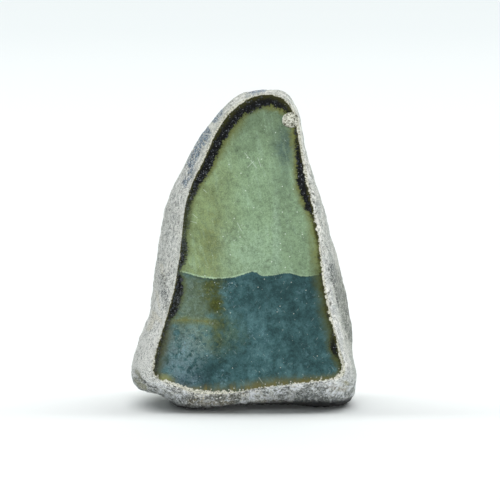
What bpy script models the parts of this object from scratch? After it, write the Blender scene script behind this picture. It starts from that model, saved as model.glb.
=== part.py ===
"""Raw jade boulder: a river-worn pebble of jade with one side sawn off flat and polished.

The stone is one piece, so it is one object. The sawn window faces -Y and the stone stands on its
flat foot at z = 0. Its surface is a shell of rings: the rings run from the edge of the window out to
the girth, the widest line of the stone, and from there round to the back, which a square patch closes.
"""

import math

import bmesh
import bpy
import numpy as np
from mathutils import Vector, noise

MM = 0.001

# Driving dimensions.
BACK_DEPTH = 33.0 * MM  # from the window to the back, before the taper
BACK_POLE = (-1.5 * MM, 26.0 * MM)  # x and z of the middle of the back
TIP_TAPER = 0.50  # share of its depth that the stone has lost at its tip
SAW_ANGLE = math.radians(38)  # how far round the wall's curve the saw met it
BACK_FULLNESS = 2.6  # exponent of the back's curve: 2 is an ellipse, more is boxier

# Faces of the shell.
PATCH_FACES = 30  # along each side of the back patch
BACK_RINGS = 12  # from the patch to the girth
WALL_RINGS = 11  # from the girth to the window
PATCH_EDGE = math.radians(46)  # how far round the back's curve the patch begins
BACK_SMOOTHING = 8  # rounds of smoothing that even out the patch's corners

# Clockwise round the stone from its tip, seen from the front, in mm: x and z of the window's edge,
# x and z of the girth beside it, and how far behind the window that girth lies.
STATIONS = (
    (5.0, 79.1, 5.0, 80.0, 4.0),  # tip
    (9.0, 78.4, 9.8, 79.4, 4.0),
    (11.8, 75.9, 12.6, 76.0, 4.0),
    (13.2, 72.2, 13.9, 72.0, 4.0),  # right side, beside the chip
    (14.2, 65.5, 15.1, 65.5, 5.0),
    (15.8, 57.3, 17.4, 57.0, 6.0),
    (17.2, 50.0, 20.3, 49.3, 7.0),
    (18.6, 42.6, 21.4, 41.8, 6.0),
    (19.5, 35.2, 22.2, 35.4, 5.0),
    (20.7, 28.2, 23.0, 28.8, 5.0),
    (22.2, 21.6, 24.3, 21.2, 5.0),
    (23.8, 15.6, 25.9, 14.8, 6.0),
    (25.0, 11.0, 28.2, 8.8, 8.0),
    (23.6, 8.6, 26.8, 1.0, 9.0),  # right-hand corner
    (17.6, 7.7, 19.8, -1.5, 8.5),
    (10.2, 6.8, 10.6, -1.4, 8.0),
    (3.4, 6.0, 3.0, -1.8, 7.5),
    (-2.3, 4.9, -4.0, -2.3, 7.0),
    (-8.4, 4.5, -10.4, -2.8, 6.0),
    (-13.4, 5.1, -16.4, -0.6, 7.0),  # here the foot leaves the floor
    (-18.4, 7.1, -21.5, 3.0, 8.0),
    (-22.1, 8.6, -26.9, 4.3, 9.0),  # left-hand lobe
    (-22.9, 11.6, -28.3, 8.2, 9.0),
    (-21.5, 16.9, -27.0, 14.4, 9.0),
    (-19.2, 24.4, -23.8, 23.2, 9.0),
    (-17.5, 30.7, -22.8, 31.0, 9.0),
    (-16.2, 37.6, -22.0, 38.0, 9.0),
    (-15.3, 45.1, -20.8, 44.6, 9.0),
    (-14.6, 51.2, -19.6, 51.0, 8.0),
    (-12.8, 57.4, -17.1, 57.2, 7.0),
    (-10.0, 63.6, -13.3, 63.6, 6.0),
    (-7.3, 69.7, -10.5, 69.4, 5.0),
    (-3.9, 74.8, -5.6, 74.8, 4.0),
    (0.2, 77.8, -1.5, 78.4, 4.0),
)

# Swellings and hollows, in mm: a line from one point to another (x, depth, z), how far it reaches to
# either side, and how far it lifts the surface. A hollow's lift is below 0.
FORMS = {
    "shoulder behind the right rim": ((25.2, 16.0, 21.5), (22.4, 17.0, 35.0), 12.0, 3.9),
    "groove behind the right rim": ((25.6, 6.8, 16.5), (23.0, 7.4, 29.0), 2.6, -1.0),
    "left lobe": ((-27.0, 12.0, 7.5), (-24.0, 16.0, 10.0), 6.5, 0.6),
    "crease under the left lobe": ((-27.5, 4.0, 6.6), (-20.5, 3.0, 2.6), 1.9, -0.7),
    "ledge on the left wall": ((-24.5, 8.0, 22.0), (-21.5, 3.0, 21.0), 2.2, 0.35),
    "bulge of the front foot": ((-9.0, 3.0, 1.6), (-12.5, 4.0, 2.0), 5.0, 0.7),
    "hollow in the front foot": ((3.0, 2.5, 2.6), (16.0, 3.0, 3.2), 4.2, -0.8),
    "ridge down the back": ((-6.0, 24.0, 56.0), (7.0, 33.0, 22.0), 12.0, 1.8),
    "scoop in the back": ((-17.0, 23.0, 34.0), (-12.0, 28.0, 18.0), 8.0, -1.6),
    "knuckle low on the back": ((12.0, 31.0, 12.0), (15.0, 29.0, 15.0), 8.0, 1.5),
    "dent high on the back": ((5.0, 17.0, 63.0), (8.0, 17.0, 58.0), 5.5, -0.9),
}

FORMS_WANDER = (17.0, 3.0)  # wavelength and amount, in mm, by which the forms' outlines wander

FLOOR_ROUNDING = 0.9 * MM  # the foot meets the floor in a curve of this height

# The front of the foot arches off the floor between its two ends, in mm: the x of those ends, how far
# the arch reaches back from the window, and its height there.
ARCH = (-11.0, 21.0, 10.0, 1.9)

# Unevenness from tumbling in a river, in mm: wavelength and height.
TUMBLING = ((11.0, 0.42), (4.6, 0.20), (2.6, 0.09))
CALM_EDGE = 2.2 * MM  # the forms and the unevenness fade in over this depth behind the window

# The chip out of the window's edge, near the tip.
CHIP_AT = (11.2 * MM, 72.6 * MM)
CHIP_RADIUS = 2.0 * MM
CHIP_DEPTH = 0.6 * MM

RIND_COLOUR = (0.46, 0.46, 0.42, 1.0)
RIND_ROUGHNESS = 0.8


def clear_scene():
    for obj in list(bpy.data.objects):
        bpy.data.objects.remove(obj)


def eased(share):
    share = min(1.0, max(0.0, share))
    return share * share * (3 - 2 * share)


def station_at(place):
    """The five sizes of a station at a place counted in stations, on a smooth line through all of them."""
    count = len(STATIONS)
    first = math.floor(place)
    t = place - first
    a, b, c, d = (np.array(STATIONS[(first + k) % count]) for k in (-1, 0, 1, 2))
    curve = 2 * b + (c - a) * t + (2 * a - 5 * b + 4 * c - d) * t**2 + (3 * b - a - 3 * c + d) * t**3
    return curve / 2 * MM


class Girth:
    """Turns a share of the way round the girth into a place counted in stations."""

    STEPS = 24  # samples between two stations

    def __init__(self):
        self.places = np.arange(len(STATIONS) * self.STEPS + 1) / self.STEPS
        points = np.array([station_at(place)[2:4] for place in self.places])
        lengths = np.hypot(*np.diff(points, axis=0).T)
        self.shares = np.concatenate([[0.0], np.cumsum(lengths)]) / lengths.sum()

    def station(self, share):
        return station_at(np.interp(share % 1.0, self.shares, self.places))


def plain_shell():
    """A closed box of quads. Its square back is a grid at level 0, rings run forward level by level,
    and one flat face closes the front. A vertex's z is its level."""
    bm = bmesh.new()
    bmesh.ops.create_grid(bm, x_segments=PATCH_FACES, y_segments=PATCH_FACES, size=1.0)
    rim = [edge for edge in bm.edges if edge.is_boundary]
    for _ in range(BACK_RINGS + WALL_RINGS):
        made = bmesh.ops.extrude_edge_only(bm, edges=rim)["geom"]
        bmesh.ops.translate(
            bm, verts=[item for item in made if isinstance(item, bmesh.types.BMVert)], vec=(0, 0, 1)
        )
        rim = [item for item in made if isinstance(item, bmesh.types.BMEdge) and item.is_boundary]
    bmesh.ops.contextual_create(bm, geom=rim)
    return bm


def shaped(co, girth):
    """Where a vertex of the plain shell lies on the stone, before the forms are added."""
    # The square maps to a disc, so that the patch's corners are spread round the stone.
    across = co.x * math.sqrt(1 - co.y**2 / 2)
    up = co.y * math.sqrt(1 - co.x**2 / 2)
    edge_x, edge_z, girth_x, girth_z, girth_depth = girth.station(math.atan2(across, up) / math.tau)
    level = round(co.z)
    if level > BACK_RINGS:
        turn = SAW_ANGLE + (math.pi / 2 - SAW_ANGLE) * (1 - (level - BACK_RINGS) / WALL_RINGS)
        inward = (1 - math.sin(turn)) / (1 - math.sin(SAW_ANGLE))
        x = girth_x + (edge_x - girth_x) * inward
        z = girth_z + (edge_z - girth_z) * inward
        depth = girth_depth * (1 - math.cos(turn) / math.cos(SAW_ANGLE))
    else:
        to_middle = 1 - math.hypot(across, up) if level == 0 else 0.0
        turn = PATCH_EDGE * (1 - level / BACK_RINGS) + (math.pi / 2 - PATCH_EDGE) * to_middle
        spread = math.cos(turn) ** (2 / BACK_FULLNESS) if turn < math.pi / 2 - 1e-6 else 0.0
        x = BACK_POLE[0] + (girth_x - BACK_POLE[0]) * spread
        z = BACK_POLE[1] + (girth_z - BACK_POLE[1]) * spread
        depth = girth_depth + (BACK_DEPTH - girth_depth) * math.sin(turn) ** (2 / BACK_FULLNESS)
    height = max(z, 0.0) / (STATIONS[0][3] * MM)
    return Vector((x, depth * (1 - TIP_TAPER * height**1.6), z))


def distance_to_line(point, start, end):
    along = end - start
    share = min(1.0, max(0.0, (point - start).dot(along) / along.length_squared))
    return (point - start - along * share).length


def lift(point):
    """How far the forms and the tumbling move the surface out at a point, in metres."""
    total = 0.0
    wavelength, amount = FORMS_WANDER
    strayed = point + noise.noise_vector(point / (wavelength * MM)) * (amount * MM)
    for start, end, reach, rise in FORMS.values():
        off = distance_to_line(strayed, Vector(start) * MM, Vector(end) * MM) / (reach * MM)
        total += rise * MM * eased(1 - off)
    for wavelength, height in TUMBLING:
        total += height * MM * noise.noise(point / (wavelength * MM))
    return total * eased(point.y / CALM_EDGE)


def foot_height(point):
    """How high the worn foot is at a point: 0 where it stands on the floor, more under the arch."""
    left, right, reach, height = (size * MM for size in ARCH)
    across = (2 * point.x - left - right) / (right - left)
    return height * eased(1 - math.hypot(across**2, point.y / reach))


def rested(point):
    """The height of a point once the stone is worn away where it would reach below its foot."""
    foot = foot_height(point)
    above = point.z - foot
    if above > FLOOR_ROUNDING:
        return point.z
    return foot + max(above + FLOOR_ROUNDING, 0.0) ** 2 / (4 * FLOOR_ROUNDING)


def stone_mesh():
    girth = Girth()
    bm = plain_shell()
    back = [vert for vert in bm.verts if vert.co.z < BACK_RINGS / 2]
    for vert in bm.verts:
        vert.co = shaped(vert.co, girth)
    for _ in range(BACK_SMOOTHING):
        bmesh.ops.smooth_vert(
            bm, verts=back, factor=0.5, use_axis_x=True, use_axis_y=True, use_axis_z=True
        )
    bmesh.ops.recalc_face_normals(bm, faces=bm.faces)
    bm.normal_update()
    lifts = [vert.normal * lift(vert.co) for vert in bm.verts]
    for vert, shift in zip(bm.verts, lifts):
        if vert.co.y > 1e-7:
            vert.co += shift
        vert.co.z = rested(vert.co)
    for face in bm.faces:
        face.smooth = len(face.verts) == 4
    mesh = bpy.data.meshes.new("jade_boulder")
    bm.to_mesh(mesh)
    bm.free()
    return mesh


def rind_material():
    material = bpy.data.materials.new("weathered rind")
    material.use_nodes = True
    shader = material.node_tree.nodes["Principled BSDF"]
    shader.inputs["Base Color"].default_value = RIND_COLOUR
    shader.inputs["Roughness"].default_value = RIND_ROUGHNESS
    return material


def chip_cutter():
    """A ball that dips into the window by the chip's depth."""
    radius = (CHIP_RADIUS**2 + CHIP_DEPTH**2) / (2 * CHIP_DEPTH)
    bm = bmesh.new()
    bmesh.ops.create_icosphere(bm, subdivisions=4, radius=radius)
    mesh = bpy.data.meshes.new("chip cutter")
    bm.to_mesh(mesh)
    bm.free()
    cutter = bpy.data.objects.new("chip cutter", mesh)
    cutter.location = (CHIP_AT[0], CHIP_DEPTH - radius, CHIP_AT[1])
    cutter.hide_render = True
    cutter.display_type = "WIRE"
    bpy.context.scene.collection.objects.link(cutter)
    return cutter


def build():
    clear_scene()
    mesh = stone_mesh()
    mesh.materials.append(rind_material())
    stone = bpy.data.objects.new("jade_boulder", mesh)
    bpy.context.scene.collection.objects.link(stone)
    chip = stone.modifiers.new("chip", "BOOLEAN")
    chip.operation = "DIFFERENCE"
    chip.object = chip_cutter()
    # The middle of the stone's box stands over the origin.
    low, high = (Vector(map(pick, zip(*(v.co for v in mesh.vertices)))) for pick in (min, max))
    middle = (low + high) / 2
    for obj in (stone, chip.object):
        obj.location -= Vector((middle.x, middle.y, 0.0))


build()
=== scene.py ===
import math

import bmesh
import bpy
import numpy as np
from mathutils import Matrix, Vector, kdtree, noise


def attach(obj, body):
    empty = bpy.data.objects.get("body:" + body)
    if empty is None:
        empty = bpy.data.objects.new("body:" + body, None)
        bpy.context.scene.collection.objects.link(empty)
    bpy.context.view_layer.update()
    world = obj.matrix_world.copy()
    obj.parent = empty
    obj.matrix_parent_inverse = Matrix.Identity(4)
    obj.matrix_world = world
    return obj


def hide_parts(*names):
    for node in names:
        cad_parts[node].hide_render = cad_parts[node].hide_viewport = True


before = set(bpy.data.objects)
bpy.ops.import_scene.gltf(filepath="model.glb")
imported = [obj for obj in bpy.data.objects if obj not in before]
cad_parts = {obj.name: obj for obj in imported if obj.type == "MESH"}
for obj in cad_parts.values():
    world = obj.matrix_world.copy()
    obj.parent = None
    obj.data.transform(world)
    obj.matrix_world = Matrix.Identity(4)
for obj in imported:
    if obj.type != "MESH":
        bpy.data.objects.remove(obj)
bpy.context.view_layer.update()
mm = 0.001


class Wire:  # a shader socket that can be used in sums
    def __init__(self, bench, socket):
        self.bench, self.socket = bench, socket

    def math(self, operation, first, second):
        return self.bench.node("ShaderNodeMath", {"operation": operation}, {0: first, 1: second})

    def __add__(self, other): return self.math("ADD", self, other)
    def __radd__(self, other): return self.math("ADD", other, self)
    def __sub__(self, other): return self.math("SUBTRACT", self, other)
    def __rsub__(self, other): return self.math("SUBTRACT", other, self)
    def __mul__(self, other): return self.math("MULTIPLY", self, other)
    def __rmul__(self, other): return self.math("MULTIPLY", other, self)
    def __truediv__(self, other): return self.math("DIVIDE", self, other)
    def __pow__(self, other): return self.math("POWER", self, other)


class Bench:  # where the nodes of one material, or of the world, are put together
    def __init__(self, owner):
        owner.use_nodes = True
        self.tree = owner.node_tree

    def plug(self, socket, value):
        if isinstance(value, Wire):
            self.tree.links.new(value.socket, socket)
        else:
            socket.default_value = value

    def node(self, kind, settings, values, output=0):
        made = self.tree.nodes.new(kind)
        for name, value in settings.items():
            if name == "stops":
                for at, height in value:
                    made.mapping.curves[0].points.new(at, height)
            else:
                setattr(made, name, value)
        for name, value in values.items():
            self.plug(made.inputs[name], value)
        return Wire(self, made.outputs[output])

    def finish(self, shader, **values):
        for name, value in values.items():
            self.plug(self.tree.nodes[shader].inputs[name.replace("_", " ")], value)

    def spotInMm(self):  # object coordinates, in mm
        spot = self.node("ShaderNodeTexCoord", {}, {}, "Object")
        return self.node("ShaderNodeVectorMath", {"operation": "SCALE"}, {0: spot, "Scale": 1 / mm})

    def parts(self, spot):
        split = self.node("ShaderNodeSeparateXYZ", {}, {0: spot})
        return [Wire(self, output) for output in split.socket.node.outputs]

    def join(self, x, y, z):
        return self.node("ShaderNodeCombineXYZ", {}, {0: x, 1: y, 2: z})

    def painted(self, name):  # a value that the mesh carries
        return self.node("ShaderNodeAttribute", {"attribute_name": name}, {}, "Fac")

    def rise(self, value, low, high):  # 0 at low, 1 at high, eased
        settings = {"interpolation_type": "SMOOTHSTEP"}
        values = {"Value": value, "From Min": low, "From Max": high}
        return self.node("ShaderNodeMapRange", settings, values)

    def mix(self, first, second, share, kind="MIX"):
        settings = {"data_type": "RGBA", "blend_type": kind}
        return self.node("ShaderNodeMix", settings, {0: share, 6: first, 7: second}, 2)

    def cloud(self, spot, size, detail=2.0, rough=0.5, swirl=0.0):  # noise with features of a size in mm
        values = {"Vector": spot, "Scale": 1 / size, "Detail": detail, "Roughness": rough}
        return self.node("ShaderNodeTexNoise", {}, values | {"Distortion": swirl})

    def grains(self, spot, size, output="Distance", feature="F1", space="3D"):  # cells of a size in mm
        settings = {"feature": feature, "voronoi_dimensions": space}
        return self.node("ShaderNodeTexVoronoi", settings, {"Vector": spot, "Scale": 1 / size}, output)

    def flecks(self, plane, size, radius, share):  # dots scattered over a plane, in a share of its cells
        dot = 1 - self.rise(self.grains(plane, size, space="2D"), radius * 0.45, radius)
        cells = self.grains(plane, size, "Color", space="2D")
        pick = self.node("ShaderNodeSeparateColor", {}, {0: cells})
        return dot * self.rise(pick, 1 - share, 1.15 - share)

    def veins(self, field, at, width):  # thin lines where a field crosses a value
        off = field - at
        return 1 - self.rise(off * off, 0.0, width * width)

    def lerp(self, first, second, share):
        return first + (second - first) * share

    def turned(self, spot, turn, stretch):  # a spot turned by degrees and then stretched
        values = {"Vector": spot, "Rotation": [math.radians(a) for a in turn]}
        spot = self.node("ShaderNodeMapping", {}, values)
        return self.vector("MULTIPLY", spot, [1 / s for s in stretch])

    def vector(self, operation, first, second, output="Vector"):
        return self.node("ShaderNodeVectorMath", {"operation": operation}, {0: first, 1: second}, output)

    def away(self, spot, start, end):  # distance from a line between two points, in mm
        along = Vector(end) - Vector(start)
        off = self.vector("SUBTRACT", spot, start)
        share = self.vector("DOT_PRODUCT", off, along / along.length_squared, "Value")
        share = self.node("ShaderNodeClamp", {}, {"Value": share})
        foot = self.node("ShaderNodeVectorMath", {"operation": "SCALE"}, {0: along, "Scale": share})
        return self.vector("DISTANCE", off, foot, "Value")


def paint(red, green, blue):  # a screen colour, 0 to 255, as a shader colour
    linear = [((c / 255 + 0.055) / 1.055) ** 2.4 for c in (red, green, blue)]
    return (*linear, 1.0)


def rise(value, low, high):  # 0 at low, 1 at high, eased
    share = np.clip((value - low) / (high - low), 0, 1)
    return share * share * (3 - 2 * share)


stoneShape = {
    "weld": 0.002 * mm,  # points closer than this are one
    "flatWithin": 0.003 * mm,
    "joinAngles": (40, 60),  # triangles are joined in pairs up to these angles
    "gridStep": 2.4 * mm,  # squares that the window is cut into
    "arris": 0.22 * mm,  # worn edge round the window
    "centre": (2.0 * mm, 38.0 * mm),  # of the window; bearings go clockwise round it from the tip
    "crumblyBearings": (18, 232),  # the cut crumbles between these
    "crumblyFades": (20, 12),  # over so many degrees at each end
    "underside": (35, 50),  # degrees from straight down, where the ribs of the wall begin
    "fineDepth": (1.8 * mm, 3.0 * mm),  # how far the faces behind the cut are finer, and how far low down
    "lowDown": 9.0 * mm,
    # boxes in mm where the wall is smoothed, and how often
    "smoothed": (
        ((12, -15, 28), (40, 20, 54), 8),
        ((-24, -15, 56), (-4, 20, 78), 4),
        ((-26, -15, 42), (-11, 20, 60), 6),
    ),
    "levels": 2,  # of subdivision
    "chipAt": (11.6 * mm, 72.6 * mm),
    "chipRadius": 2.0 * mm,
    "chipWobble": (0.7, 0.35),  # size and amount in mm, by which its outline wanders
    "chipDepth": 1.2 * mm,
    "lumps": ((3.4, 0.15), (1.5, 0.1), (0.8, 0.07)),  # size and height in mm
    "streaks": (2.6, 0.7, 0.12),  # length, width and height of the ribs that run round the wall, in mm
    "streaksFrom": (-14, -9),  # mm from the cut
    "pitSize": 2.3,  # spacing of the pits and their depth, in mm
    "pitDepth": 0.2,
    "pitEdges": (0.32, 0.02),  # rim and bottom, as shares of the spacing
    "crumbs": (0.8, 0.4),  # size and height of the crumbs along the cut, in mm
    "crumbReach": 1.3,  # mm from the cut
    "cleanStretches": (4.5, 1.6),  # size in mm and contrast of the stretches with fewer crumbs
    "wallFrom": (0.0, -1.2),  # mm from the cut, where the wall's unevenness begins
    "grooves": (  # start, end, half width and depth in mm, on the front of the wall
        ((21.0, 36.4), (26.0, 17.4), 0.8, 0.6),
        ((-27.6, 9.2), (-21.6, 4.6), 0.9, 0.7),
        ((-23.2, 25.0), (-19.2, 23.2), 0.4, 0.25),
    ),
    "grooveWobble": (1.5, 0.4),  # size and amount in mm
    "groovesTo": (1, -3),  # they run out behind this depth, in mm
    "nubs": (1.2, 0.4),  # size and height of the nubs low on the front, in mm
    "nubsBelow": (9, 6),  # height in mm
    "nubsTo": (-12, -4),  # depth in mm
    "dents": (11.0, 0.55),  # size and height of the broad dents on the sides and the back, in mm
    "dentsFrom": (-4, 6),  # depth in mm
    "midTurbulence": 0.6,  # a turbulence of three octaves lies about this
    "oliveRim": (24, 10),  # degrees from the tip, where the skin has an olive rim
}

# bearing in degrees, then in mm from the cut's edge: where the rind's cream section ends,
# where the dark skin ends, where its olive fringe ends; last how dark the skin is
skinBands = [
    (0, 0.3, 3.2, 4.0, 1.0), (6, 0.3, 3.0, 3.9, 1.0), (12, 0.4, 3.0, 3.6, 1.0),
    (18, 0.8, 1.4, 2.2, 0.8), (23, 0.6, 1.4, 2.3, 1.0), (28, 0.6, 2.0, 2.8, 1.0),
    (31, 0.6, 2.6, 3.6, 1.0), (37, 0.6, 2.8, 3.7, 1.0), (42, 0.5, 2.3, 3.4, 1.0),
    (49, 0.3, 2.0, 2.6, 1.0), (53, 0.4, 1.2, 2.4, 0.9), (60, 0.4, 0.7, 2.3, 0.6),
    (67, 0.4, 0.8, 2.4, 0.7), (72, 0.4, 0.6, 2.4, 0.4), (80, 0.5, 0.7, 2.5, 0.5),
    (86, 0.5, 1.0, 2.6, 0.7), (93, 0.5, 0.6, 2.8, 0.4), (104, 0.6, 1.2, 2.8, 0.7),
    (110, 0.6, 1.1, 2.7, 0.6), (116, 0.6, 0.9, 2.7, 0.5), (124, 0.7, 1.2, 2.8, 0.7),
    (130, 0.4, 1.1, 2.9, 0.5), (134.5, 0.7, 2.4, 3.2, 1.0), (138, 0.8, 1.3, 2.4, 0.6),
    (142, 1.2, 1.3, 1.9, 0.2), (146, 0.4, 0.5, 1.3, 0.0), (154, 0.3, 0.4, 1.5, 0.0),
    (165, 0.3, 0.4, 2.0, 0.0), (180, 0.3, 0.5, 2.1, 0.1), (192, 0.8, 0.9, 2.4, 0.1),
    (202, 1.2, 1.3, 1.9, 0.0), (210, 0.9, 1.0, 1.1, 0.0), (216, 0.6, 0.8, 2.1, 0.1),
    (221, 0.5, 1.3, 3.0, 0.65), (225, 0.3, 1.5, 3.2, 0.75), (231, 0.2, 1.3, 2.8, 0.75),
    (235, 0.2, 1.2, 2.3, 0.75), (238, 0.2, 2.1, 2.7, 1.0), (246, 0.2, 2.5, 2.9, 0.9),
    (252, 0.2, 2.3, 2.8, 1.0), (258, 0.15, 1.9, 2.4, 1.0), (261, 0.1, 0.6, 1.2, 0.7),
    (266, 0.1, 1.2, 1.8, 0.9), (272, 0.2, 1.6, 2.2, 1.0), (279, 0.1, 2.1, 2.6, 0.85),
    (285, 0.1, 1.5, 2.2, 0.9), (290, 0.1, 1.3, 2.1, 0.7), (298, 0.1, 1.7, 2.4, 0.7),
    (305, 0.1, 1.6, 2.2, 0.7), (311, 0.1, 1.6, 2.2, 0.8), (317, 0.15, 1.6, 2.2, 0.9),
    (324, 0.2, 2.1, 2.6, 1.0), (331, 0.4, 2.9, 3.4, 1.0), (340, 0.5, 3.0, 4.2, 1.0),
    (350, 0.6, 3.3, 5.2, 1.0), (356, 0.6, 3.3, 4.0, 1.0),
]


def besideChip(point, slack=1.04):
    across, up = stoneShape["chipAt"]
    return math.hypot(point.x - across, point.z - up) < stoneShape["chipRadius"] * slack


def bearingOf(point):
    across, up = stoneShape["centre"]
    return math.degrees(math.atan2(point.x - across, point.z - up)) % 360


def shapeStone(node):
    bm = bmesh.new()
    bm.from_mesh(node.data)
    bmesh.ops.remove_doubles(bm, verts=bm.verts, dist=stoneShape["weld"])
    bm.normal_update()
    front = min(v.co.y for v in bm.verts)

    def onWindow(face):
        return all(abs(v.co.y - front) < stoneShape["flatWithin"] for v in face.verts)

    bmesh.ops.dissolve_faces(bm, faces=[f for f in bm.faces if onWindow(f)])
    window = max(bm.faces, key=lambda f: f.calc_area() if onWindow(f) else 0)
    bend, skew = (math.radians(angle) for angle in stoneShape["joinAngles"])
    bmesh.ops.join_triangles(
        bm, faces=[f for f in bm.faces if f is not window],
        angle_face_threshold=bend, angle_shape_threshold=skew,
    )
    for low, high, times in stoneShape["smoothed"]:
        inside = [v for v in bm.verts if all(a * mm < c < b * mm for a, c, b in zip(low, v.co, high))]
        for _ in range(times):
            bmesh.ops.smooth_vert(
                bm, verts=inside, factor=0.5, use_axis_x=True, use_axis_y=True, use_axis_z=True,
            )
    rim = [e for e in window.edges if not all(besideChip(v.co) for v in e.verts)]
    bmesh.ops.bevel(
        bm, geom=rim, offset=stoneShape["arris"], segments=2, profile=0.5, affect="EDGES",
        material=-1, clamp_overlap=True,
    )
    for face in bm.faces:
        face.material_index = int(onWindow(face))
        face.smooth = True

    # the window is cut into squares, so that it carries its markings and stays flat
    step = stoneShape["gridStep"]
    for axis in (Vector((1, 0, 0)), Vector((0, 0, 1))):
        reach = [v.co.dot(axis) for f in bm.faces if f.material_index for v in f.verts]
        for at in np.arange(min(reach) + step / 2, max(reach), step):
            faces = [f for f in bm.faces if f.material_index]
            edges = list({e for f in faces for e in f.edges})
            verts = list({v for f in faces for v in f.verts})
            bmesh.ops.bisect_plane(
                bm, geom=faces + edges + verts, plane_co=axis * float(at), plane_no=axis,
                dist=stoneShape["weld"] / 2,
            )

    def crumbles(point):
        reach = stoneShape["fineDepth"][int(point.z < stoneShape["lowDown"])]
        start, end = stoneShape["crumblyBearings"]
        return front + 1e-5 < point.y < front + reach and start < bearingOf(point) < end

    # finer faces beside the cut, for its crumbs
    near = [e for e in bm.edges if all(crumbles(v.co) for v in e.verts)]
    bmesh.ops.subdivide_edges(bm, edges=near, cuts=1, use_grid_fill=True)
    bmesh.ops.triangulate(bm, faces=[f for f in bm.faces if len(f.verts) > 4 and not f.material_index])

    crease = bm.edges.layers.float.new("crease_edge")
    for edge in bm.edges:
        if len({f.material_index for f in edge.link_faces}) == 2:
            edge[crease] = 1.0
    mesh = bpy.data.meshes.new("jadeStone")
    bm.to_mesh(mesh)
    bm.free()
    mesh.materials.append(rindMaterial())
    mesh.materials.append(windowMaterial())
    stone = bpy.data.objects.new("jade_stone", mesh)
    bpy.context.scene.collection.objects.link(stone)
    smoothing = stone.modifiers.new("smoothing", "SUBSURF")
    smoothing.levels = smoothing.render_levels = stoneShape["levels"]
    depsgraph = bpy.context.evaluated_depsgraph_get()
    finished = bpy.data.meshes.new_from_object(stone.evaluated_get(depsgraph))
    stone.modifiers.clear()
    stone.data = finished
    return stone


def cutLine(mesh):  # points close together along the window's edge, the chip left out
    sides = {}
    for face in mesh.polygons:
        for key in face.edge_keys:
            sides.setdefault(key, set()).add(face.material_index)
    points = []
    for (a, b), found in sides.items():
        start, end = mesh.vertices[a].co, mesh.vertices[b].co
        if len(found) == 2 and not (besideChip(start) and besideChip(end)):
            points += [start.lerp(end, share) for share in (0.0, 0.33, 0.67)]
    return points


def grooveAt(p):  # how deep the grooves are at a point in mm
    size, amount = stoneShape["grooveWobble"]
    deepest = 0.0
    for start, end, width, depth in stoneShape["grooves"]:
        line = Vector(end) - Vector(start)
        off = Vector((p.x, p.z)) - Vector(start)
        share = min(max(off.dot(line) / line.length_squared, 0), 1)
        away = abs((off - line * share).length + noise.noise(p / size) * amount)
        deepest = max(deepest, depth * rise(away, width, 0) * rise(p.y, *stoneShape["groovesTo"]))
    return deepest


def measureFromCut(mesh):  # for each point of the stone: mm from the cut, mm along it, bearing
    points = sorted(cutLine(mesh), key=lambda point: (bearingOf(point) - 180) % 360)
    steps = [(b - a).length / mm for a, b in zip(points, points[1:])]
    lengths = np.concatenate([[0.0], np.cumsum(steps)])
    bearings = [bearingOf(point) for point in points]
    tree = kdtree.KDTree(len(points))
    for index, point in enumerate(points):
        tree.insert(point, index)
    tree.balance()
    front = min(v.co.y for v in mesh.vertices)
    rows = []
    for v in mesh.vertices:
        _, index, distance = tree.find(v.co)
        side = 1 if v.co.y < front + stoneShape["weld"] else -1
        rows.append((side * distance / mm, lengths[index], bearings[index]))
    return np.array(rows).T


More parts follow.
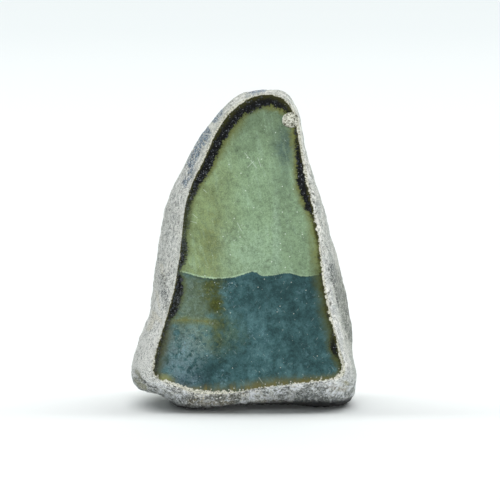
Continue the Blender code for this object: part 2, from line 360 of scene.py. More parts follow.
def weatherStone(stone):
    mesh = stone.data
    fromCut, along, bearing = measureFromCut(mesh)
    front = min(v.co.y for v in mesh.vertices)
    floor = min(v.co.z for v in mesh.vertices)

    # crumbly along the right and the bottom of the cut, cleaner along the left
    (start, end), (startFade, endFade) = stoneShape["crumblyBearings"], stoneShape["crumblyFades"]
    crumbly = rise(bearing, start, start + startFade) * rise(bearing, end, end - endFade) * 0.85 + 0.15
    streaky = rise(abs(bearing - 180), *stoneShape["underside"])  # the underside has no ribs
    crumbSize, crumbHeight = stoneShape["crumbs"]
    ribLength, ribWidth, ribHeight = stoneShape["streaks"]
    (nubSize, nubHeight), (dentSize, dentHeight) = stoneShape["nubs"], stoneShape["dents"]
    stretch, contrast = stoneShape["cleanStretches"]
    usual = stoneShape["midTurbulence"]
    moved = []
    for v, distance, length, crumble, streak in zip(mesh.vertices, fromCut, along, crumbly, streaky):
        p = v.co / mm
        if distance > 1e-3 and not besideChip(v.co, 0.98):  # the polished flat stays flat
            moved.append(v.co.copy())
            continue
        shift = sum(height * noise.fractal(p / size, 1.0, 2.0, 3) for size, height in stoneShape["lumps"])
        rib = noise.noise(Vector((length / ribLength, distance / ribWidth, p.y * 0.3)))
        shift += ribHeight * rib * streak * rise(distance, *stoneShape["streaksFrom"])
        near, _ = noise.voronoi(p / stoneShape["pitSize"])
        shift -= stoneShape["pitDepth"] * rise(near[0], *stoneShape["pitEdges"])
        dent = noise.fractal(p / dentSize, 1.0, 2.0, 3)
        shift += dentHeight * rise(p.y, *stoneShape["dentsFrom"]) * dent
        low = rise(p.z, *stoneShape["nubsBelow"]) * (1 - rise(p.y, *stoneShape["nubsTo"]))
        shift += nubHeight * low * (noise.turbulence(p / nubSize, 3, False) - usual)
        shift = (shift - grooveAt(p)) * rise(distance, *stoneShape["wallFrom"])
        nearCut = rise(distance, -stoneShape["crumbReach"], 0) * crumble
        nearCut *= rise(noise.noise(p / stretch) * contrast, -0.55, 0.45)
        shift += nearCut * crumbHeight * (noise.turbulence(p / crumbSize, 3, False) - usual)
        place = v.co + v.normal * shift * mm
        place.y = max(place.y, front)
        place.z = max(place.z, floor)
        moved.append(place)
    for v, place in zip(mesh.vertices, moved):
        v.co = place

    table = np.array(skinBands + [(skinBands[0][0] + 360, *skinBands[0][1:])])
    carried = {"fromCut": fromCut, "along": along, "crumbly": crumbly, "streaky": streaky}
    for column, name in enumerate(("creamTo", "skinTo", "fringeTo", "skinDark"), 1):
        carried[name] = np.interp(bearing, table[:, 0], table[:, column])
    fromTip = abs((bearing + 180) % 360 - 180)
    carried["oliveRim"] = rise(fromTip, *stoneShape["oliveRim"])
    across, up = stoneShape["chipAt"]
    co = np.array([v.co for v in mesh.vertices])
    off = np.hypot(co[:, 0] - across, co[:, 2] - up)
    wobble, amount = stoneShape["chipWobble"]
    off += np.array([noise.noise(v.co / mm / wobble) for v in mesh.vertices]) * amount * mm
    reach = 1.1 * stoneShape["chipRadius"]
    shallow = co[:, 1] < front + stoneShape["chipDepth"]
    carried["chip"] = np.clip((reach - off) / (0.25 * mm), 0, 1) * shallow
    for name, values in carried.items():
        layer = mesh.attributes.new(name, "FLOAT", "POINT")
        layer.data.foreach_set("value", values.astype(np.float32))


rind = {
    "cream": paint(206, 208, 198),
    "pale": paint(246, 247, 243),
    "coolPale": paint(232, 236, 242),
    "grey": paint(170, 176, 170),
    "dim": paint(132, 138, 135),
    "dark": paint(66, 70, 67),
    "slate": paint(116, 124, 127),
    "green": paint(98, 110, 99),
    "beige": paint(205, 198, 170),
    "yellow": paint(176, 164, 116),
    "brown": paint(122, 108, 74),
    "steel": paint(98, 124, 146),
    "steelDark": paint(44, 56, 76),
    "lilac": paint(216, 217, 226),
    "ivory": paint(224, 221, 205),
    "straw": paint(222, 206, 150),
    "bruise": paint(84, 92, 96),
    "bulge": paint(104, 109, 98),
    "crumb": paint(250, 249, 243),
    "gap": paint(84, 84, 66),
    "olive": paint(134, 132, 88),
    "chip": paint(216, 216, 200),
    # near black, for painted shade
    "shadeBlack": paint(14, 15, 16),
    "roughness": 0.82,
    "bump": (0.8, 0.2 * mm),  # strength and distance
    # size in mm, detail, roughness and swirl of each pattern
    "clouds": {
        "blotch": (5.0, 3.0, 0.6),
        "fleck": (1.3, 4.0, 0.7, 0.6),
        "grain": (0.45, 3.0, 0.75),
        "fine": (0.24, 2.0, 0.7),
        "ribs": (0.62, 3.0, 0.7, 0.5),
        "strokes": (0.42, 3.0, 0.75),
        "hairs": (1.0, 4.0, 0.72, 1.2),
        "broad": (13.0, 4.0, 0.6, 0.8),
        "torn": (9.0, 5.0, 0.62, 0.5),
        "scratched": (0.85, 4.0, 0.7, 0.5),
        "patchy": (3.4, 2.0, 0.6, 0.5),
        "knobs": (1.3, 4.0, 0.68, 1.2),
        "fibres": (0.55, 4.0, 0.72, 0.4),
        "crumbs": (0.85, 4.0, 0.75, 0.6),
        "holes": (0.6, 4.0, 0.75, 1.0),
    },
    # how some of them are turned, in degrees, and stretched
    "turns": {
        "hairs": ((0, 18, 0), (0.45, 0.5, 1.3)),
        "scratched": ((32, 0, 0), (0.6, 1.0, 2.0)),
        "fibres": ((0, -39, 0), (2.4, 1.0, 0.55)),
        "tiles": ((0, 30, 0), (0.7, 1.0, 1.6)),
        "shells": ((0, 20, 0), (1.3, 1.0, 0.85)),
    },
    "pits": 1.9,  # sizes of the cells, in mm
    "tiles": 1.3,
    "shells": 0.8,
    # where each stretch of the rind begins and ends, in mm
    "sidesFrom": (-9.0, 2.0),
    "lowFrontTo": (5.5, 9.5),
    "ribsFrom": (-13.0, -8.0),
    "leftTo": (-14.0, -6.0),
    "leftPale": ((4.0, 8.0), (22.0, 36.0)),
    "bulgeEdge": (20.8, 37.3, 0.26),  # x at a height, and its lean
    "bulgeMiddle": (-9, 26, 11),  # y, z and radius
    "ridgeFrom": (16.0, 19.0),
    "ridgeTo": (34.0, 44.0),
    "rightDim": ((14.0, 18.0), (36.0, 42.0)),
    "lobeTo": ((-17.0, -12.0), (8.0, 11.0)),
    "crustFrom": (-14.0, -11.5),
    "crustTo": (-1.5, 1.5),
    "crustAbove": (2.4, 3.4),
    # painted shade low on the wall and near black at the foot
    "lowShadeTo": (2.0, 5.5),
    "footTo": (0.7, 2.6),
    "footRightFrom": (-2.0, 10.0),
    "bluePatches": (  # start, end, reach in mm
        ((1.2, 78.3), (4.8, 79.6), 1.1),
        ((-6.7, 72.5), (-5.3, 74.2), 1.1),
        ((-8.6, 69.4), (-10.4, 66.6), 1.35),
        ((-11.2, 65.2), (-12.6, 61.8), 1.2),
        ((-12.0, 60.4), (-14.2, 56.8), 1.05),
    ),
    "creams": (
        ((-22.6, 24.6), (-19.6, 22.2), 0.7),
        ((-23.6, 20.6), (-22.2, 23.4), 0.8),
    ),
    "beiges": (
        ((-20.4, 36.4), (-18.9, 31.0), 0.6),
        ((-21.6, 29.5), (-20.6, 25.6), 0.5),
        ((22.9, 37.4), (24.2, 31.6), 0.45),
        ((24.2, 23.6), (25.4, 19.6), 0.5),
    ),
    "blotches": (  # dark patches on the front of the wall
        ((13.4, 3.0), (19.6, 3.4), 1.3),
        ((-12.4, 2.6), (-9.8, 2.8), 0.7),
        ((1.2, 3.9), (2.6, 4.1), 0.5),
        ((23.8, 3.2), (26.0, 3.8), 0.7),
        ((-20.0, 33.0), (-18.6, 26.4), 1.3),
        ((-25.6, 8.6), (-24.6, 7.0), 0.6),
        ((21.7, 36.0), (22.4, 32.6), 0.9),
        ((24.7, 31.2), (25.2, 28.8), 0.6),
    ),
    "browns": (
        ((-13.0, 2.2), (-3.0, 2.2), 1.2),
        ((21.5, 6.4), (25.2, 5.4), 1.0),
        ((3.4, 2.0), (9.0, 2.2), 0.8),
    ),
    "olives": (
        ((-27.2, 6.6), (-25.0, 5.4), 1.1),
        ((-26.6, 9.4), (-25.2, 7.6), 0.7),
        ((24.0, 8.6), (25.6, 7.0), 0.7),
    ),
    # painted shade down the grooves, start, end and reach in mm
    "creaseShades": (((-27.0, 8.8), (-22.0, 5.0), 0.26), ((21.9, 33.4), (26.0, 17.4), 0.18)),
}


def rindMaterial():
    material = bpy.data.materials.new("weathered rind")
    b = Bench(material)
    spot = b.spotInMm()
    x, y, z = b.parts(spot)
    fromCut, along = b.painted("fromCut"), b.painted("along")
    crumbly, streaky, chip = b.painted("crumbly"), b.painted("streaky"), b.painted("chip")

    def cloud(name, at=spot):
        return b.cloud(at, *rind["clouds"][name])

    def turned(name):
        return b.turned(spot, *rind["turns"][name])

    blotch, fleck, grain, fine = (cloud(name) for name in ("blotch", "fleck", "grain", "fine"))
    ribs = cloud("ribs", b.join(along * 0.3, fromCut, y * 0.4))
    strokes = cloud("strokes", b.join(along * 0.42, fromCut * 0.8, y * 0.3))
    hairs = cloud("hairs", turned("hairs"))
    lines = b.lerp(hairs, ribs, b.rise(fromCut, *rind["ribsFrom"]) * streaky)
    behind = b.rise(y + (blotch - 0.5) * 6, *rind["sidesFrom"])  # the sides and the back
    lowFront = (1 - b.rise(z + (blotch - 0.5) * 4, *rind["lowFrontTo"])) * (1 - behind)
    flat = b.join(x, (y + 13) * 0.3, z)

    def region(entry, wobble=1.6):  # 1 inside a patch of the front view
        start, end, reach = entry
        away = b.away(flat, (start[0], 0.0, start[1]), (end[0], 0.0, end[1]))
        away = away + (fleck - 0.5) * wobble + (blotch - 0.5) * 1.2 + behind * 9
        return 1 - b.rise(away, reach * 0.7, reach * 1.25)

    def regions(name, wobble=1.6):
        found = region(rind[name][0], wobble)
        for entry in rind[name][1:]:
            found = b.node("ShaderNodeMath", {"operation": "MAXIMUM"}, {0: found, 1: region(entry, wobble)})
        return found

    colour = b.mix(rind["grey"], rind["cream"], b.rise(blotch, 0.34, 0.62))
    left = (1 - b.rise(x, *rind["leftTo"])) * (1 - behind)  # paler, most of all low down
    paleFrom, paleTo = rind["leftPale"]
    pale = left * b.rise(z, *paleFrom) * (0.75 - b.rise(z, *paleTo) * 0.35)
    colour = b.mix(colour, rind["pale"], pale)
    colour = b.mix(colour, rind["dim"], b.rise(lines, 0.53, 0.62) * 0.75)
    colour = b.mix(colour, rind["pale"], b.rise(1 - lines, 0.53, 0.61) * 0.8)

    # the sides and the back are darker and more mottled than the front of the wall
    broad = cloud("broad")
    colour = b.mix(colour, rind["slate"], b.rise(fleck, 0.5, 0.7) * (0.12 + behind * 0.5))
    colour = b.mix(colour, rind["beige"], b.rise(hairs, 0.5, 0.72) * (0.1 + behind * 0.3))
    yellowed = b.rise(broad + (fleck - 0.5) * 0.3, 0.52, 0.66) * behind
    colour = b.mix(colour, rind["yellow"], yellowed * 0.4)
    worn = b.rise(1 - broad + (fleck - 0.5) * 0.4, 0.56, 0.64) * behind  # the rind is thin here
    colour = b.mix(colour, rind["green"], worn * 0.6)
    torn = cloud("torn")
    cracks = b.veins(torn, 0.47, 0.006) * behind
    colour = b.mix(colour, rind["brown"], b.veins(torn, 0.47, 0.03) * behind * 0.3)
    colour = b.mix(colour, rind["dark"], cracks * 0.7)
    pits = b.rise(0.2 - b.grains(spot, rind["pits"]), 0.0, 0.1)
    colour = b.mix(colour, rind["dark"], pits * (0.15 + behind * 0.4))

    # right side: a pale ridge, and behind it a darker, yellowish bulge
    (across, up, lean), (depth, middle, radius) = rind["bulgeEdge"], rind["bulgeMiddle"]
    pastEdge = x - (across + (up - z) * lean) + (fleck - 0.5) * 1.6
    off = (((y - depth) / radius) ** 2 + ((z - middle) / radius) ** 2) ** 0.5
    off = off + (broad - 0.5) * 1.6 + (fleck - 0.5) * 0.8
    bulge = b.rise(pastEdge, -0.3, 0.5) * (1 - b.rise(off, 0.75, 1.15))
    ridge = b.rise(x, *rind["ridgeFrom"]) * (1 - b.rise(z, *rind["ridgeTo"]))
    ridge = ridge * b.rise(fromCut, -4.0, -1.0) * (1 - bulge)
    colour = b.mix(colour, rind["lilac"], ridge * 0.25)
    dimAcross, dimUp = rind["rightDim"]
    colour = b.mix(colour, rind["dim"], b.rise(x, *dimAcross) * b.rise(z, *dimUp) * (1 - behind) * 0.2)
    colour = b.mix(colour, rind["bulge"], bulge * 0.85)
    scratched = cloud("scratched", turned("scratched"))
    colour = b.mix(colour, rind["dark"], bulge * b.rise(scratched, 0.52, 0.58) * 0.9)
    colour = b.mix(colour, rind["cream"], bulge * b.rise(1 - scratched, 0.54, 0.6) * 0.85)

    # low on the front: cool grey, knobbly
    patchy, knobs = cloud("patchy"), cloud("knobs")
    knobbly = knobs + patchy * 0.5
    colour = b.mix(colour, rind["slate"], lowFront * b.rise(patchy, 0.42, 0.6) * 0.6)
    colour = b.mix(colour, rind["dark"], lowFront * b.rise(knobbly, 0.77, 0.85) * 0.85)
    colour = b.mix(colour, rind["coolPale"], lowFront * b.rise(1.5 - knobbly, 0.75, 0.82) * 0.95)

    # fibres that run down over the lobe on the left
    fibres = cloud("fibres", turned("fibres"))
    lobeAcross, lobeUp = rind["lobeTo"]
    ragged = (fleck - 0.5) * 3
    lobe = (1 - b.rise(x + ragged, *lobeAcross)) * (1 - b.rise(z + ragged, *lobeUp)) * (1 - behind)
    colour = b.mix(colour, rind["dark"], lobe * b.rise(fibres, 0.53, 0.61) * 0.75)
    colour = b.mix(colour, rind["coolPale"], lobe * b.rise(1 - fibres, 0.53, 0.6) * 0.8)

    colour = b.mix(colour, rind["ivory"], regions("creams", 0.8) * 0.8)
    colour = b.mix(colour, rind["beige"], regions("beiges") * b.rise(grain, 0.36, 0.56) * 0.5)
    colour = b.mix(colour, rind["olive"], regions("olives") * 0.7)
    browned = regions("browns", 3.0) * b.rise(fleck, 0.4, 0.58)
    colour = b.mix(colour, rind["brown"], browned * 0.7)
    bruised = regions("blotches", 2.4)
    colour = b.mix(colour, rind["bruise"], bruised * b.rise(grain, 0.4, 0.56) * 0.7)
    # painted shade: near black down the grooves on the lobe and on the right side
    colour = b.mix(colour, rind["shadeBlack"], regions("creaseShades", 0.5) * b.rise(grain, 0.36, 0.46) * 0.75)

    # blue patches with a dark crackle
    tiles = b.grains(turned("tiles"), rind["tiles"], feature="DISTANCE_TO_EDGE")
    crackle = b.rise(tiles + (grain - 0.5) * 0.12, 0.03, 0.09)
    steel = b.mix(rind["steel"], rind["steelDark"], b.rise(fleck, 0.54, 0.62) * 0.6)
    seams = b.mix(rind["steelDark"], rind["cream"], b.rise(fleck, 0.47, 0.52))
    steel = b.mix(seams, steel, crackle)
    colour = b.mix(colour, steel, regions("bluePatches", 0.5) * 0.92)

    # a crust of pale crumbs low on the left
    shelly = x + (fleck - 0.5) * 6
    crust = b.rise(shelly, *rind["crustFrom"]) * (1 - b.rise(shelly, *rind["crustTo"])) * lowFront
    crust = crust * b.rise(z + ragged, *rind["crustAbove"])
    shells = b.grains(turned("shells"), rind["shells"]) + (grain - 0.5) * 0.4
    shell = b.mix(rind["crumb"], rind["straw"], b.rise(blotch + (fleck - 0.5) * 0.6, 0.48, 0.6))
    colour = b.mix(colour, rind["gap"], crust * b.rise(shells, 0.3, 0.5) * 0.8)
    colour = b.mix(colour, shell, crust * (1 - b.rise(shells, 0.2, 0.34)) * 0.9)

    # crisp grain all over, drawn out along the wall on the left
    strong = 0.55 - (lowFront + bulge) * 0.15 + left * 0.2
    drawn = b.lerp(grain, strokes, left * streaky)
    colour = b.mix(colour, rind["dark"], b.rise(drawn + bruised * 0.06, 0.56, 0.64) * strong)
    colour = b.mix(colour, rind["pale"], b.rise(1 - drawn, 0.55, 0.63) * strong)
    colour = b.mix(colour, rind["dark"], b.rise(fine, 0.56, 0.62) * strong)
    colour = b.mix(colour, rind["pale"], b.rise(1 - fine, 0.55, 0.61) * strong * 0.95)
    # painted shade: the wall is dimmed further from the cut, where it turns away from the front
    colour = b.mix(colour, rind["dim"], (1 - b.rise(fromCut + ragged, -6.5, -1.5)) * 0.25)

    # smooth pale lip along the left of the cut, crumbs along the right and the bottom: their cream colour,
    # partly a painted highlight on the crumbs and painted shade in the gaps between them
    lip = b.rise(fromCut, -1.6, -0.4) * (1 - crumbly)
    colour = b.mix(colour, rind["cream"], lip * 0.35)
    crumbs = cloud("crumbs")
    edge = b.rise(fromCut + (fleck - 0.5) * 4.0 + (blotch - 0.5) * 4.0, -1.6, -0.2) * crumbly
    colour = b.mix(colour, rind["crumb"], edge * b.rise(crumbs, 0.47, 0.55) * 0.85)
    colour = b.mix(colour, rind["gap"], edge * b.rise(1 - crumbs, 0.54, 0.6) * 0.8)
    holes = cloud("holes")
    chipped = b.mix(rind["chip"], rind["gap"], b.rise(holes, 0.5, 0.56))
    chipped = b.mix(chipped, rind["crumb"], b.rise(1 - holes, 0.56, 0.62) * 0.8)
    colour = b.mix(colour, chipped, chip)

    # painted shade towards the foot: darker grain low on the wall, and near black where the wall turns
    # under to the floor, higher up on the right
    lowShade = (1 - b.rise(z + (fleck - 0.5) * 4, *rind["lowShadeTo"])) * b.rise(grain, 0.4, 0.56)
    colour = b.mix(colour, rind["dark"], lowShade * 0.35)
    lowered = (0.4 - b.rise(x, *rind["footRightFrom"]) * 1.1) * (1 - behind)
    foot = z + (fleck - 0.5) * 1.6 + lowered
    colour = b.mix(colour, rind["shadeBlack"], (1 - b.rise(foot, *rind["footTo"])) * 0.95)

    height = lines * 0.6 + grain * 0.7 + fine * 0.3 + fleck * 0.4 + knobs * lowFront * 0.9 - cracks * 0.5
    strength, distance = rind["bump"]
    bump = {"Strength": strength, "Distance": distance, "Height": height}
    bump = b.node("ShaderNodeBump", {}, bump)
    b.finish("Principled BSDF", Base_Color=colour, Roughness=rind["roughness"], Normal=bump)
    return material


jade = {
    "green": paint(148, 175, 139),
    "olive": paint(145, 163, 115),
    "pale": paint(168, 196, 168),
    "crown": paint(108, 128, 100),
    "blueGrey": paint(86, 108, 100),
    "shade": paint(118, 140, 112),
    "teal": paint(66, 102, 105),
    "deepTeal": paint(42, 72, 74),
    "seaTeal": paint(84, 120, 124),
    "milky": paint(130, 154, 144),
    "curd": paint(122, 150, 156),
    "violet": paint(90, 100, 116),
    "greenGrey": paint(102, 119, 96),
    "moss": paint(92, 119, 98),
    "cornerMoss": paint(156, 162, 108),
    "sparkle": paint(140, 176, 190),
    "stain": paint(74, 80, 26),
    "stainLight": paint(130, 138, 84),
    "rust": paint(122, 114, 62),
    "skin": paint(7, 9, 10),
    "skinGrain": paint(74, 78, 84),
    "skinOlive": paint(58, 58, 22),
    "glint": paint(200, 204, 208),
    "fringe": paint(84, 88, 44),
    "fringeRight": paint(124, 128, 66),
    "fringeLow": paint(88, 90, 66),
    "fringeLeft": paint(112, 118, 66),
    "gold": paint(126, 116, 64),
    "cream": paint(226, 225, 211),
    "creamGap": paint(146, 145, 124),
    "crumb": paint(250, 248, 236),
    "borderLine": paint(184, 210, 176),
    "fleck": paint(232, 242, 232),
    "roughness": 0.3,
    "specular": 0.08,
    # size in mm, detail, roughness and swirl of each pattern
    "clouds": {
        "wide": (7.0, 2.0, 0.5),
        "mid": (2.2, 4.0, 0.62),
        "small": (0.8, 4.0, 0.7),
        "fine": (0.3, 2.0, 0.7),
        "curds": (1.5, 5.0, 0.72, 0.8),
        "wisps": (1.5, 3.0, 0.6, 0.4),
        "clusters": (3.4, 4.0, 0.7),
        "sparks": (0.4, 2.0, 0.7),
        "specks": (0.8, 4.0, 0.75),
        "needles": (0.34, 3.0, 0.7),
        "stretches": (2.6, 3.0, 0.6),
        "nibs": (1.5, 5.0, 0.75),
        "creamGrain": (0.45, 3.0, 0.7),
    },
    "wispTurn": ((0, 14, 0), (0.8, 1.0, 3.6)),
    # patches: colour, x, z, half width, half height, softness, strength, and what breaks it up, from and to
    "palePatches": (
        ("pale", 1.5, 39.0, 7.0, 6.0, 0.9, 0.5, "small", 0.2, 0.6),
        ("pale", 8.1, 43.0, 0.8, 11.0, 0.8, 0.5),
    ),
    "upperPatches": (
        ("blueGrey", 10.2, 66.4, 2.6, 4.2, 0.9, 0.85, "small", 0.2, 0.6),
        ("blueGrey", 10.6, 60.0, 2.6, 5.0, 0.9, 0.35, "small", 0.3, 0.6),
        ("stainLight", -8.0, 42.0, 2.6, 11.0, 0.8, 0.7, "small", 0.25, 0.65),
    ),
    "deepPatches": (
        ("deepTeal", 10.0, 30.5, 11.0, 4.5, 0.8, 0.6),
        ("deepTeal", 17.0, 22.0, 8.0, 15.0, 0.9, 0.55),
    ),
    "lowerPatches": (
        ("deepTeal", -9.6, 11.0, 4.0, 5.0, 0.9, 0.6),
        ("milky", -12.8, 18.6, 6.0, 4.4, 0.7, 0.85, "curds", 0.36, 0.56),
        ("curd", -15.6, 13.6, 4.4, 6.0, 0.8, 0.8, "curds", 0.44, 0.54),
        ("violet", -14.2, 7.6, 4.6, 2.4, 0.7, 0.35, "small", 0.3, 0.6),
        ("greenGrey", -12.6, 28.4, 6.0, 6.6, 0.5, 0.9),
        ("milky", -12.6, 29.0, 5.0, 6.0, 0.6, 0.45, "curds", 0.46, 0.6),
        ("moss", -5.0, 20.0, 4.6, 4.4, 0.7, 0.7, "curds", 0.3, 0.6),
    ),
    "stains": ((-8.0, 31.4, 3.0, 4.8, 0.8), (-6.2, 22.0, 2.5, 6.4, 0.8)),  # up to the softness
    "cornerPatch": (-19.2, 8.6, 1.5, 1.0, 0.8),
    "windowDepth": -16.1,  # y of the window, in mm
    # height of the border between the two jades, across the window, in mm
    "border": [
        (-20, 35.6), (-15.2, 35.2), (-12.9, 34.6), (-9.7, 33.8), (-7.5, 33.6), (-5.3, 33.6), (-2.3, 33.9),
        (-0.6, 34.4), (0.9, 34.9), (3.1, 35.2), (4.1, 34.5), (6.6, 34.3), (8.5, 34.6), (11.2, 34.9),
        (14.9, 34.1), (18.6, 34.5), (22, 34.4),
    ],
    "rustStreak": ((-20.5, 22.8), (-14.5, 23.3), (-9.0, 22.9), (-6.6, 22.1)),
    "scratches": (
        ((0.4, 64.6), (1.6, 63.2)), ((1.9, 62.8), (3.3, 60.9)), ((1.1, 61.1), (2.6, 62.6)),
        ((3.6, 63.4), (4.4, 61.2)), ((-9.7, 55.6), (-8.9, 54.9)), ((-12.4, 49.6), (-11.2, 48.6)),
        ((-12.9, 47.8), (-11.4, 47.4)), ((-1.4, 47.4), (-0.4, 45.4)), ((4.9, 7.3), (3.9, 8.8)),
    ),
    # turn in degrees, spacing and radius in mm, share and strength
    "flecks": ((27, 3.4, 0.05, 0.4, 0.95), (-16, 1.9, 0.06, 0.3, 0.6)),
    "hairs": ((35, 4.6, 0.1, 0.3, 0.22), (-40, 5.2, 0.1, 0.3, 0.22)),
    "hairStretch": (0.16, 1.5, 1.0),
    "glints": (0.8, 0.16, 0.35),  # spacing, radius and share
    "looseCrumbs": (0.7, 0.3, 0.4),
}


def windowMaterial():
    material = bpy.data.materials.new("polished jade")
    b = Bench(material)
    spot = b.spotInMm()
    x, _, z = b.parts(spot)
    plane = b.join(x, z, 0.0)
    fromCut, along, crumbly = b.painted("fromCut"), b.painted("along"), b.painted("crumbly")
    creamTo, skinTo = b.painted("creamTo"), b.painted("skinTo")
    fringeTo, skinDark = b.painted("fringeTo"), b.painted("skinDark")

    def cloud(name, at=spot):
        return b.cloud(at, *jade["clouds"][name])

    wide, mid, small, fine = (cloud(name) for name in ("wide", "mid", "small", "fine"))
    curds = cloud("curds")
    wisps = cloud("wisps", b.turned(spot, *jade["wispTurn"]))
    breaks = {"small": small, "curds": curds}

    def blob(across, up, wideness, tallness, soft):
        away = (((x - across) / wideness) ** 2 + ((z - up) / tallness) ** 2) ** 0.5
        return 1 - b.rise(away + (mid - 0.5) * 1.4, 1 - soft, 1 + soft)

    def patched(colour, patches):
        for name, across, up, wideness, tallness, soft, strength, *broken in patches:
            share = blob(across, up, wideness, tallness, soft)
            if broken:
                pattern, low, high = broken
                share = share * b.rise(breaks[pattern], low, high)
            colour = b.mix(colour, jade[name], share * strength)
        return colour

    def fromLine(start, end):  # mm from a line on the window
        depth = jade["windowDepth"]
        return b.away(spot, (start[0], depth, start[1]), (end[0], depth, end[1]))

    # upper jade
    oliveShare = 1 - b.rise(x + (wide - 0.5) * 10, -11.0, 3.0)
    shaded = b.rise(x + (wide - 0.5) * 6 - (46 - z) * 0.12, 5.0, 14.0)
    upper = b.mix(jade["green"], jade["olive"], oliveShare * 0.85)
    upper = patched(upper, jade["palePatches"])
    upper = b.mix(upper, jade["shade"], shaded * 0.4)
    upper = b.mix(upper, jade["crown"], b.rise(z + (wide - 0.5) * 10, 60.0, 74.0) * 0.85)
    upper = patched(upper, jade["upperPatches"])
    upper = b.mix(upper, jade["pale"], b.rise(wisps, 0.52, 0.7) * 0.3)
    upper = b.mix(upper, jade["shade"], b.rise(1 - wisps, 0.54, 0.7) * 0.35)
    upper = b.mix(upper, jade["crown"], b.rise(mid, 0.54, 0.72) * 0.3)

    # lower jade
    lower = b.mix(jade["teal"], jade["seaTeal"], b.rise(mid, 0.44, 0.66) * 0.75)
    lower = patched(lower, jade["deepPatches"])
    lower = b.mix(lower, jade["deepTeal"], b.rise(1 - mid, 0.54, 0.7) * 0.35)
    lower = patched(lower, jade["lowerPatches"])
    first, second = jade["stains"]
    stained = blob(*first) + blob(*second) * 0.7
    stain = b.rise(stained * (0.25 + small + (curds - 0.5) * 0.8), 0.0, 1.0)
    lower = b.mix(lower, jade["stain"], stain * 0.95)
    lower = b.mix(lower, jade["stainLight"], stained * b.rise(small, 0.54, 0.66) * 0.4)
    for start, end in zip(jade["rustStreak"], jade["rustStreak"][1:]):
        near = fromLine(start, end) + (small - 0.5) * 1.4
        rusty = (1 - b.rise(near, 0.0, 0.5)) * b.rise(small, 0.42, 0.56)
        lower = b.mix(lower, jade["stainLight"], (1 - b.rise(near, 0.1, 1.5)) * 0.4)
        lower = b.mix(lower, jade["rust"], rusty * 0.75)
    clustered = b.rise(cloud("clusters"), 0.55, 0.68) * b.rise(cloud("sparks"), 0.5, 0.6)
    lower = b.mix(lower, jade["sparkle"], clustered * (0.4 - b.rise(x, 2.0, 10.0) * 0.2))

    # the border between the two
    low, high = jade["border"][0][0], jade["border"][-1][0]
    stops = [((across - low) / (high - low), height / 100) for across, height in jade["border"]]
    line = b.node("ShaderNodeFloatCurve", {"stops": stops[1:-1]}, {"Value": (x - low) / (high - low)})
    ends = line.socket.node.mapping.curves[0].points
    ends[0].location, ends[-1].location = stops[0], stops[-1]
    line.socket.node.mapping.update()
    above = z - line * 100 + (small - 0.5) * 0.7 + (fine - 0.5) * 0.4
    inUpper = b.rise(above, -0.1, 0.1)
    colour = b.mix(lower, upper, inUpper)
    under = b.veins(above, -0.3, 0.35) * b.rise(wide, 0.35, 0.6)  # a darker seam just below it
    colour = b.mix(colour, jade["deepTeal"], under * 0.45)
    left = 1 - b.rise(x + (mid - 0.5) * 8, 0.0, 6.0)
    colour = b.mix(colour, jade["borderLine"], b.veins(above, 0.2, 0.24) * (0.25 + left * 0.5))

    # clouding and grain
    shade = 0.94 + (wide - 0.5) * 0.45 + (mid - 0.5) * 0.95 + (small - 0.5) * 1.1 + (fine - 0.5) * 1.15
    shade = b.node("ShaderNodeCombineColor", {}, {0: shade, 1: shade, 2: shade})
    colour = b.mix(colour, shade, 1.0, "MULTIPLY")
    colour = b.mix(colour, jade["deepTeal"], b.rise(cloud("specks"), 0.63, 0.7) * 0.5)

    # white flecks, hairs and fine scratches
    for turn, size, radius, share, strength in jade["flecks"]:
        turned = b.turned(plane, (0, 0, turn), (1, 1, 1))
        dots = b.flecks(turned, size, radius, share) * (0.55 + inUpper * 0.45)
        colour = b.mix(colour, jade["fleck"], dots * strength)
    for turn, size, radius, share, strength in jade["hairs"]:
        turned = b.turned(plane, (0, 0, turn), jade["hairStretch"])
        hairs = b.flecks(turned, size, radius, share) * b.rise(small, 0.4, 0.6)
        colour = b.mix(colour, jade["fleck"], hairs * strength)
    for start, end in jade["scratches"]:
        near = fromLine(start, end)
        colour = b.mix(colour, jade["fleck"], (1 - b.rise(near, 0.04, 0.13)) * 0.5)

    # olive fringe, dark skin and the cream section of the rind, from the inside out
    needles = cloud("needles", b.join(along, fromCut * 0.3, 0.0))
    stretches = cloud("stretches", b.join(along, 0.0, 7.0))
    ragged = (mid - 0.5) * 1.7 + (small - 0.5) * 2.2 + (needles - 0.5) * 2.0
    rightHalf = b.rise(x, 2.0, 8.0)
    mottled = rightHalf * b.rise(z, 7.0, 10.0) * b.rise(small, 0.52, 0.6)
    corner = (1 - b.rise(x, -14.0, -8.0)) * b.rise(z, 7.5, 10.0) * (1 - b.rise(z, 22.5, 24.0))
    fringe = b.mix(jade["gold"], jade["fringe"], b.rise(z, 6.0, 12.0))
    fringe = b.mix(fringe, jade["fringeRight"], rightHalf * b.rise(z, 33.0, 40.0))
    fringe = b.mix(fringe, jade["skinOlive"], mottled * 0.55)
    fringe = b.mix(fringe, jade["fringeLeft"], (1 - b.rise(x, -2.0, 8.0)) * b.rise(z, 12.0, 20.0))
    fringe = b.mix(fringe, jade["fringeLow"], corner)
    depth = fromCut - skinTo + (ragged + (wide - 0.5) * 1.5) * 0.8
    fade = (fringeTo - skinTo) * 1.25 + 0.45
    fringed = (1 - b.rise(depth / fade, -0.2, 1.2)) * b.rise(fringeTo - creamTo, 0.1, 1.0)
    bare = b.rise(stretches, 0.5, 0.66) * (1 - b.rise(z, 6.5, 9.0))  # it is patchy at the bottom
    fringed = fringed * (1 - bare * 0.6)
    faint = (1 - b.rise(x, -8.0, -2.0)) * b.rise(z, 22.0, 24.0) * (1 - b.rise(z, 48.0, 58.0))
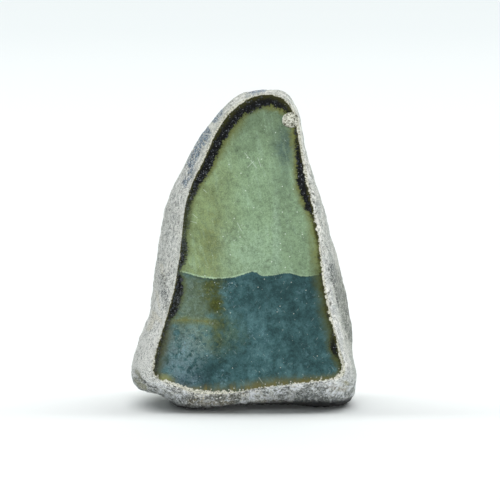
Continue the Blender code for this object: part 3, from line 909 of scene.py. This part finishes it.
    fringed = fringed * (0.88 + (small - 0.5) * 1.4) * (1 - faint * 0.55)  # hardly any on the left
    colour = b.mix(colour, fringe, fringed)
    colour = b.mix(colour, jade["cornerMoss"], blob(*jade["cornerPatch"]) * (0.3 + small) * 0.8)
    hem = 1 - b.rise(fromCut - creamTo + (ragged - 0.1) * 0.6, 0.1, 0.7)  # dark line next to the rind
    hem = hem * b.rise(skinDark, 0.1, 0.5) * b.rise(stretches, 0.4, 0.56)
    colour = b.mix(colour, jade["skinOlive"], hem * 0.85)
    grainy = b.rise(fine * 0.4 + small * 0.6 - b.rise(x, -14.0, -8.0) * 0.05, 0.48, 0.56)
    skin = b.mix(jade["skin"], jade["skinGrain"], grainy * 0.85)
    outside = 1 - b.rise(fromCut - creamTo + (small - 0.5) * 2.2, 0.1, 0.4 + b.painted("oliveRim"))
    skin = b.mix(skin, jade["skinOlive"], outside * 0.85)
    skin = b.mix(skin, jade["glint"], b.flecks(plane, *jade["glints"]) * 0.4)
    halo = b.rise(skinTo - fromCut + ragged, -0.8, 0.35)
    colour = b.mix(colour, jade["skinOlive"], halo * skinDark * 0.6)
    soft = (1 - skinDark) * 1.4  # a faint skin has a soft edge
    covered = b.rise((skinTo - fromCut + ragged) / (0.3 + soft), -0.4, 1.0)
    colour = b.mix(colour, skin, covered * skinDark)
    nibs = cloud("nibs", b.join(along, fromCut * 0.5, 3.0))
    jag = (nibs - 0.54) * (0.5 + crumbly * 3.2 * b.rise(stretches, 0.3, 0.6))
    cream = b.mix(jade["cream"], jade["creamGap"], b.rise(cloud("creamGrain"), 0.48, 0.58))
    cream = b.mix(cream, jade["crumb"], b.rise(small, 0.5, 0.6) * crumbly * 0.8)
    section = b.rise(creamTo - fromCut + jag, -0.06, 0.12)
    colour = b.mix(colour, cream, section)
    loose = b.flecks(plane, *jade["looseCrumbs"]) * (1 - b.rise(fromCut - creamTo, 0.2, 1.2)) * crumbly
    loose = loose * b.rise(stretches, 0.46, 0.6) * (1 - b.rise(z, 9.0, 14.0))
    colour = b.mix(colour, jade["crumb"], loose * 0.8)

    rough = jade["roughness"] + section * 0.5 + (small - 0.5) * 0.1
    b.finish(
        "Principled BSDF", Base_Color=colour, Roughness=rough, Specular_IOR_Level=jade["specular"],
    )
    return material


studio = {
    "floorSize": 14.0,
    "floorColour": (0.875, 0.905, 0.905, 1.0),
    # painted shade: the floor's colour far behind the stone
    "shadedFarFloor": (0.765, 0.81, 0.815, 1.0),
    "floorShadeFrom": (200, 2500),  # mm behind the stone, over which the floor is painted greyer: painted shade where the light falls off
    "floorRoughness": 0.7,
    "room": (0.03, 0.031, 0.031, 1.0),
    "sweep": (0.72, 0.74, 0.74, 1.0),  # pale paper all round, low down
    "backGlow": (0.68, 0.69, 0.69, 1.0),  # and its upper part behind the stone
    "sweepTo": (0.08, 0.2),  # heights, 0 level and 1 straight up
    "backGlowFrom": (0.08, 0.3),
    # place, width, height in m and watts
    "overheadStrip": ((0.0, 1.7, 20.0), 44.0, 3.0, 6050),
    "frontCard": ((0.6, -1.1, 0.085), 1.0, 0.16, 5.6),
    "target": Vector((1.7, -7.8, 39.5)) * mm,
    "elevation": math.radians(8),
    "distance": 0.55,
    "lens": 158.8,
}


def placed(name, data, place):  # something that looks at the stone
    thing = bpy.data.objects.new(name, data)
    thing.location = place
    thing.rotation_euler = (studio["target"] - Vector(place)).to_track_quat("-Z", "Y").to_euler()
    bpy.context.scene.collection.objects.link(thing)
    return thing


def setStudio():
    bm = bmesh.new()
    bmesh.ops.create_grid(bm, x_segments=1, y_segments=1, size=studio["floorSize"] / 2)
    mesh = bpy.data.meshes.new("floor")
    bm.to_mesh(mesh)
    bm.free()
    floor = bpy.data.objects.new("floor", mesh)
    bpy.context.scene.collection.objects.link(floor)
    paper = bpy.data.materials.new("white paper")
    mesh.materials.append(paper)
    b = Bench(paper)
    _, depth, _ = b.parts(b.spotInMm())
    # painted shade: the floor greys further back
    colour = b.mix(studio["floorColour"], studio["shadedFarFloor"], b.rise(depth, *studio["floorShadeFrom"]))
    b.finish(
        "Principled BSDF", Base_Color=colour, Roughness=studio["floorRoughness"], Specular_IOR_Level=0.0,
    )

    world = bpy.data.worlds.new("studio")
    air = Bench(world)
    _, depth, height = air.parts(air.node("ShaderNodeTexCoord", {}, {}, "Generated"))
    glow = air.mix(studio["sweep"], studio["room"], air.rise(height, *studio["sweepTo"]))
    backed = air.rise(depth, 0.0, 0.5) * air.rise(height, *studio["backGlowFrom"])
    glow = air.mix(glow, studio["backGlow"], backed)
    air.finish("Background", Color=glow)
    bpy.context.scene.world = world
    for name in ("overheadStrip", "frontCard"):
        place, width, height, watts = studio[name]
        light = bpy.data.lights.new(name, "AREA")
        light.shape, light.size, light.size_y, light.energy = "RECTANGLE", width, height, watts
        placed(name, light, place)

    turn = studio["elevation"]
    back = Vector((0, -math.cos(turn), math.sin(turn)))
    place = studio["target"] + back * studio["distance"]
    camera = placed("camera", bpy.data.cameras.new("camera"), place)
    camera.data.lens = studio["lens"]
    bpy.context.scene.camera = camera
    bpy.context.scene.view_settings.view_transform = "Standard"


stone = shapeStone(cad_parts["jade_boulder"])
print("stone cut and smoothed:", sum(len(f.vertices) - 2 for f in stone.data.polygons), "triangles")
weatherStone(stone)
print("stone weathered")
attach(stone, "root")
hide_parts("jade_boulder")
setStudio()
print("studio set")
